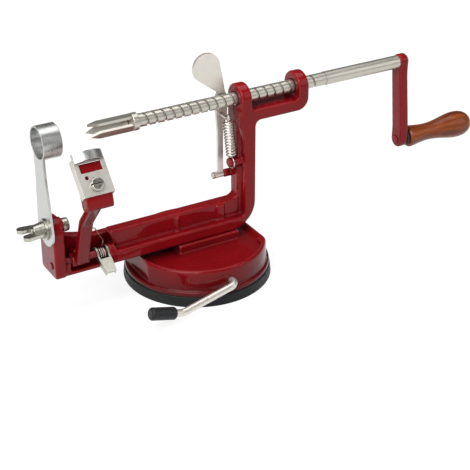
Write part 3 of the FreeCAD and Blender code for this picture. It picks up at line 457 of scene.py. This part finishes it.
def plated_finish(name, colour, corner_shade, shine, marks, mirror=1.0, rounding=FINE_SOFTNESS):
    """Bright plating with faint handling marks and painted shade in the corners.

    shine is the least roughness, marks the height of the marks, and a lower mirror is more satin.
    """
    f = Finish(name)
    worn = f.spread(f.noise(160, detail=4, rough=0.6), 0.0, 1.0)
    body = f.mix(worn, tone(colour, 0.93), colour)
    # Painted shade: the plating turns dark in its corners.
    corner = f.spread(f.crevices(PLATE_SHADE_REACH), 0.0, 1.0, start=0.15, end=0.75)
    f.link(f.mix(corner, corner_shade, body), f.shader.inputs["Base Color"])
    f.link(f.spread(f.noise(500, detail=3), shine, shine + 0.12), f.shader.inputs["Roughness"])
    f.set(Metallic=mirror)
    below = f.soft_edges(rounding) if rounding else None
    relief = f.bump(f.noise(900, detail=3), marks, below)
    f.link(relief, f.shader.inputs["Normal"])
    return f.material


def screw_finish(settings):
    """Nickelled turned metal, with painted shade in its grooves and fine lathe lines."""
    f = Finish("nickelled_screw")
    colour = colour_of(settings.nickel)
    # Painted shade: the grooves turn dark.
    corner = f.spread(f.crevices(GROOVE_SHADE_REACH), 0.0, 1.0, start=0.35, end=0.9)
    worn = f.spread(f.noise(140, detail=4, where=f.stretched((0.3, 1.0, 1.0))), 0.0, 1.0)
    body = f.mix(worn, tone(colour, 0.9), colour)
    f.link(f.mix(corner, colour_of(settings.corner_shade), body), f.shader.inputs["Base Color"])
    f.link(f.spread(f.noise(260, detail=3), 0.27, 0.36), f.shader.inputs["Roughness"])
    f.set(Metallic=SATIN)
    lathe = f.noise(2200, detail=2, where=f.stretched((1.0, 0.02, 0.02)))
    f.link(f.bump(lathe, LATHE_LINES), f.shader.inputs["Normal"])
    return f.material


def ground_finish(settings):
    """Ground stainless steel with grinding lines across the blade."""
    f = Finish("stainless_steel")
    colour = colour_of(settings.steel)
    lines = f.noise(2600, detail=3, where=f.stretched((1.0, 1.0, 0.015)))
    streaks = f.spread(lines, 0.0, 1.0)
    body = f.mix(streaks, tone(colour, 0.86), colour)
    # Painted shade: the blades turn darker in their corners.
    corner = f.spread(f.crevices(BLADE_REACH), 0.0, 1.0, start=0.2, end=0.8)
    f.link(f.mix(corner, tone(colour, 0.4), body), f.shader.inputs["Base Color"])
    f.link(f.spread(lines, 0.24, 0.42), f.shader.inputs["Roughness"])
    f.set(Metallic=1.0, Anisotropic=0.4)
    f.link(f.bump(lines, GRINDING_LINES, f.soft_edges(BLADE_SOFTNESS)), f.shader.inputs["Normal"])
    return f.material


def wood_finish(settings):
    """Varnished hardwood with the grain along the handle and painted shade where it meets its
    neighbours.
    """
    f = Finish("varnished_wood")
    along = f.stretched((0.09, 1.0, 1.0))
    grain = f.noise(420, detail=5, rough=0.62, where=along, warp=0.6)
    figure = f.noise(95, detail=3, where=along, warp=1.4)
    light, dark = colour_of(settings.light), colour_of(settings.dark)
    mean = tuple((a + b) / 2 for a, b in zip(light, dark))
    body = f.ramp(figure, (0.36, dark), (0.47, mean), (0.62, light))
    fibres = f.ramp(grain, (0.40, (0.42, 0.36, 0.30)), (0.56, (1.0, 1.0, 1.0)))
    colour = f.mix(0.6, body, fibres, "MULTIPLY")
    # Painted shade: the wood turns dark in corners and where it meets its neighbours.
    corner = f.spread(f.crevices(WOOD_REACH), 0.0, 1.0, start=0.3, end=0.9)
    f.link(f.mix(corner, tone(dark, 0.35), colour), f.shader.inputs["Base Color"])
    f.link(f.spread(grain, 0.42, 0.30), f.shader.inputs["Roughness"])
    f.set(Specular_IOR_Level=0.2, Coat_Weight=0.3, Coat_Roughness=0.12)
    f.link(f.bump(grain, WOOD_GRAIN), f.shader.inputs["Normal"])
    return f.material


def rubber_finish(name, colour, low, high, grain):
    """Dark moulded surface with a little dust; low and high are its roughness."""
    f = Finish(name)
    dust = f.spread(f.noise(90, detail=4), 0.0, 1.0)
    body = f.mix(dust, tone(colour, 0.8), tone(colour, 1.35))
    f.link(body, f.shader.inputs["Base Color"])
    f.link(f.spread(f.noise(300, detail=3), low, high), f.shader.inputs["Roughness"])
    f.set(Specular_IOR_Level=0.28)
    relief = f.bump(f.noise(1100, detail=3), grain, f.soft_edges(RUBBER_SOFTNESS))
    f.link(relief, f.shader.inputs["Normal"])
    return f.material


def spring_finish(settings):
    """Bright spring wire, with painted shade between its turns."""
    f = Finish("spring_steel")
    colour = tone(colour_of(settings.nickel), 1.15)
    # Painted shade: the wire turns dark between its turns.
    corner = f.spread(f.crevices(SPRING_REACH), 0.0, 1.0, start=0.25, end=0.85)
    f.link(f.mix(corner, colour_of(settings.corner_shade), colour), f.shader.inputs["Base Color"])
    f.link(f.spread(f.noise(900, detail=2), 0.20, 0.32), f.shader.inputs["Roughness"])
    f.set(Metallic=1.0)
    return f.material


class PEELER_OT_castings(bpy.types.Operator):
    """Enamels the frame, the foot, the peeling arm and the crank arm"""

    bl_idname = "peeler.castings"
    bl_label = "Castings"

    def execute(self, context):
        settings = context.scene.peeler_enamel
        enamel = enamel_finish(settings)
        for name in CASTINGS:
            piece = cast_copy(name, settings.voxel, settings.rounds, settings.keep)
            if name == "frame_casting":
                open_bore(piece, 0.0, SHAFT_Z, SLEEVE_R + settings.bore_play, 0.0, SLEEVE_LOW[0])
            piece.data.materials.append(enamel)
            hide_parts(name)
            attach(piece, BODY_OF[name])
        coat_nodes(ENAMELLED_PINS, enamel)
        return {"FINISHED"}


class PEELER_OT_shaft(bpy.types.Operator):
    """Plates the feed screw, its sleeve, the fork and the rods"""

    bl_idname = "peeler.shaft"
    bl_label = "Shaft and rods"

    def execute(self, context):
        metal = context.scene.peeler_metal
        nickel, sheet = colour_of(metal.nickel), colour_of(metal.sheet)
        corner_shade = colour_of(metal.corner_shade)
        coat_nodes(TURNED, screw_finish(metal))
        plate = plated_finish("nickel_plate", nickel, corner_shade, 0.22, SCREW_MARKS, SATIN)
        coat_nodes(("crank_screw",), plate)
        satin = plated_finish("satin_rod", sheet, corner_shade, 0.30, ROD_MARKS, SATIN, 0.0)
        coat_nodes(("suction_rod",), satin)
        return {"FINISHED"}


class PEELER_OT_hardware(bpy.types.Operator):
    """Plates the nut, the washers, the screws, the bent sheet parts and the springs"""

    bl_idname = "peeler.hardware"
    bl_label = "Hardware and springs"

    def execute(self, context):
        metal = context.scene.peeler_metal
        corner_shade = colour_of(metal.corner_shade)
        zinc = plated_finish("zinc_plate", colour_of(metal.zinc), corner_shade, 0.22, ZINC_MARKS)
        coat_nodes(ZINC_PLATED, zinc)
        colour = colour_of(metal.sheet)
        sheet = plated_finish("nickelled_sheet", colour, corner_shade, 0.34, SHEET_MARKS, SATIN)
        coat_nodes(SHEET_METAL, sheet)
        latch = plated_finish("latch_plate", colour_of(metal.latch), corner_shade, 0.34, LATCH_MARKS)
        coat_nodes(("arm_latch",), latch)
        coat_nodes(SPRINGS, spring_finish(metal))
        return {"FINISHED"}


class PEELER_OT_blades(bpy.types.Operator):
    """Grinds the slicer and the peeling blade"""

    bl_idname = "peeler.blades"
    bl_label = "Blades"

    def execute(self, context):
        coat_nodes(GROUND_STEEL, ground_finish(context.scene.peeler_metal))
        return {"FINISHED"}


class PEELER_OT_handle(bpy.types.Operator):
    """Turns the grain of the wooden handle along its spindle"""

    bl_idname = "peeler.handle"
    bl_label = "Wooden handle"

    def execute(self, context):
        coat_nodes(("wood_handle",), wood_finish(context.scene.peeler_wood))
        grip = colour_of(context.scene.peeler_rubber.grip)
        coat_nodes(("handle_washer",), rubber_finish("black_spacer", grip, 0.4, 0.5, SPACER_GRAIN))
        return {"FINISHED"}


class PEELER_OT_rubber(bpy.types.Operator):
    """Moulds the suction pad and the lever's grip"""

    bl_idname = "peeler.rubber"
    bl_label = "Rubber and grip"

    def execute(self, context):
        rubber = context.scene.peeler_rubber
        pad = rubber_finish("black_rubber", colour_of(rubber.pad), 0.45, 0.6, RUBBER_GRAIN)
        coat_nodes(("suction_pad",), pad)
        grip = rubber_finish("black_plastic", colour_of(rubber.grip), 0.32, 0.45, PLASTIC_GRAIN)
        coat_nodes(("suction_grip",), grip)
        return {"FINISHED"}


# Each lamp's name, place, size and power
LAMPS = (
    ("key", (-0.80, -0.60, 1.05), (1.0, 0.9), 12.0),
    ("fill", (0.95, -0.9, 0.75), (0.9, 0.9), 3.2),
    ("top", (0.05, 0.15, 1.35), (1.6, 0.9), 9.5),
    ("glint", (-0.55, -0.95, 1.15), (0.20, 0.20), 1.3),
)
LAMP_TARGET = (0.05, 0.0, 0.08)
CAMERA_PLACE = (-0.3710, -0.6861, 0.4540)
CAMERA_AIM = (0.44302, 0.75676, -0.48067)
SENSOR_WIDTH = 36.0  # millimetres
SIGHT = 40.0  # how far the camera sees, in metres


def soft_lamp(name, place, target, size, power):
    """A rectangular lamp that faces the target."""
    lamp = bpy.data.lights.new(name, "AREA")
    lamp.shape = "RECTANGLE"
    lamp.size, lamp.size_y = size
    lamp.energy = power
    holder = bpy.data.objects.new(name, lamp)
    holder.location = place
    holder.rotation_euler = (Vector(target) - Vector(place)).to_track_quat("-Z", "Y").to_euler()
    bpy.context.scene.collection.objects.link(holder)


SKY_SLANT = (-0.66, -0.43, -0.62)  # towards the sky's bright side
SKY_STOPS = ((0.0, 0.10), (0.35, 0.16), (0.6, 0.34), (0.8, 0.75), (1.0, 0.9))  # place and grey
FLOOR_COLOUR = (0.32, 0.32, 0.32)
FLOOR_GLOW = 0.78  # what the floor adds to its lit colour, up to white


def floor_finish():
    """White floor that keeps the shadow and stays white for the view and in the metal."""
    f = Finish("studio_floor")
    f.set(Base_Color=(*FLOOR_COLOUR, 1.0), Roughness=0.9, Specular_IOR_Level=0.0)
    path = f.node("ShaderNodeLightPath")
    seen = path.outputs["Is Camera Ray"]
    for ray in ("Is Glossy Ray", "Is Transmission Ray"):
        either = f.node("ShaderNodeMath", operation="MAXIMUM")
        f.link(seen, either.inputs[0])
        f.link(path.outputs[ray], either.inputs[1])
        seen = either.outputs[0]
    share = f.node("ShaderNodeMath", operation="MULTIPLY")
    f.link(seen, share.inputs[0])
    share.inputs[1].default_value = FLOOR_GLOW
    glow = f.node("ShaderNodeEmission")
    f.link(share.outputs[0], glow.inputs["Strength"])
    both = f.node("ShaderNodeAddShader")
    f.link(f.shader.outputs[0], both.inputs[0])
    f.link(glow.outputs[0], both.inputs[1])
    f.link(both.outputs[0], f.tree.nodes["Material Output"].inputs["Surface"])
    return f.material


def studio_sky():
    """Soft surroundings: pale at the horizon on the left, darker overhead and behind the right."""
    world = bpy.data.worlds.new("studio")
    bpy.context.scene.world = world
    world.use_nodes = True
    tree = world.node_tree
    place = tree.nodes.new("ShaderNodeTexCoord")
    slant = tree.nodes.new("ShaderNodeVectorMath")
    slant.operation = "DOT_PRODUCT"
    tree.links.new(place.outputs["Generated"], slant.inputs[0])
    slant.inputs[1].default_value = SKY_SLANT
    ramp = tree.nodes.new("ShaderNodeValToRGB")
    while len(ramp.color_ramp.elements) < len(SKY_STOPS):
        ramp.color_ramp.elements.new(0.5)
    for element, (where, grey) in zip(ramp.color_ramp.elements, SKY_STOPS):
        element.position = where
        element.color = (grey, grey, grey, 1.0)
    half = tree.nodes.new("ShaderNodeMath")
    half.operation = "MULTIPLY_ADD"
    tree.links.new(slant.outputs["Value"], half.inputs[0])
    half.inputs[1].default_value = 0.5
    half.inputs[2].default_value = 0.5
    tree.links.new(half.outputs[0], ramp.inputs["Fac"])
    tree.links.new(ramp.outputs["Color"], tree.nodes["Background"].inputs["Color"])


class PEELER_OT_stage(bpy.types.Operator):
    """Sets the white floor, the soft lamps and the camera"""

    bl_idname = "peeler.stage"
    bl_label = "Stage"

    def execute(self, context):
        scene = context.scene
        settings = scene.peeler_stage
        half = settings.floor_size / 2
        corners = [(-half, -half, 0), (half, -half, 0), (half, half, 0), (-half, half, 0)]
        mesh = bpy.data.meshes.new("floor")
        mesh.from_pydata(corners, [], [(0, 1, 2, 3)])
        floor = bpy.data.objects.new("floor", mesh)
        scene.collection.objects.link(floor)
        mesh.materials.append(floor_finish())
        studio_sky()
        for name, place, size, power in LAMPS:
            soft_lamp(name, place, LAMP_TARGET, size, power)
        camera = bpy.data.cameras.new("camera")
        camera.lens = settings.lens
        camera.sensor_width = SENSOR_WIDTH
        camera.clip_end = SIGHT
        holder = bpy.data.objects.new("camera", camera)
        holder.location = CAMERA_PLACE
        holder.rotation_euler = Vector(CAMERA_AIM).to_track_quat("-Z", "Y").to_euler()
        scene.collection.objects.link(holder)
        scene.camera = holder
        scene.view_settings.view_transform = "Standard"
        return {"FINISHED"}


class PEELER_PT_panel(bpy.types.Panel):
    bl_idname = "PEELER_PT_panel"
    bl_label = "Apple peeler"
    bl_space_type = "VIEW_3D"
    bl_region_type = "UI"
    bl_category = "Peeler"

    def draw(self, context):
        layout = self.layout
        for operator in OPERATORS:
            layout.operator(operator.bl_idname)


SETTINGS = {
    "peeler_enamel": EnamelSettings,
    "peeler_metal": MetalSettings,
    "peeler_wood": WoodSettings,
    "peeler_rubber": RubberSettings,
    "peeler_stage": StageSettings,
}
OPERATORS = (
    PEELER_OT_castings,
    PEELER_OT_shaft,
    PEELER_OT_hardware,
    PEELER_OT_blades,
    PEELER_OT_handle,
    PEELER_OT_rubber,
    PEELER_OT_stage,
)


def register():
    for name, group in SETTINGS.items():
        bpy.utils.register_class(group)
        setattr(bpy.types.Scene, name, bpy.props.PointerProperty(type=group))
    for cls in OPERATORS + (PEELER_PT_panel,):
        bpy.utils.register_class(cls)


def unregister():
    for cls in reversed(OPERATORS + (PEELER_PT_panel,)):
        bpy.utils.unregister_class(cls)
    for name, group in reversed(list(SETTINGS.items())):
        delattr(bpy.types.Scene, name)
        bpy.utils.unregister_class(group)


def main():
    """Registers the classes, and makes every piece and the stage."""
    register()
    for operator in OPERATORS:
        group, name = operator.bl_idname.split(".")
        getattr(getattr(bpy.ops, group), name)()


if __name__ == "__main__":
    main()
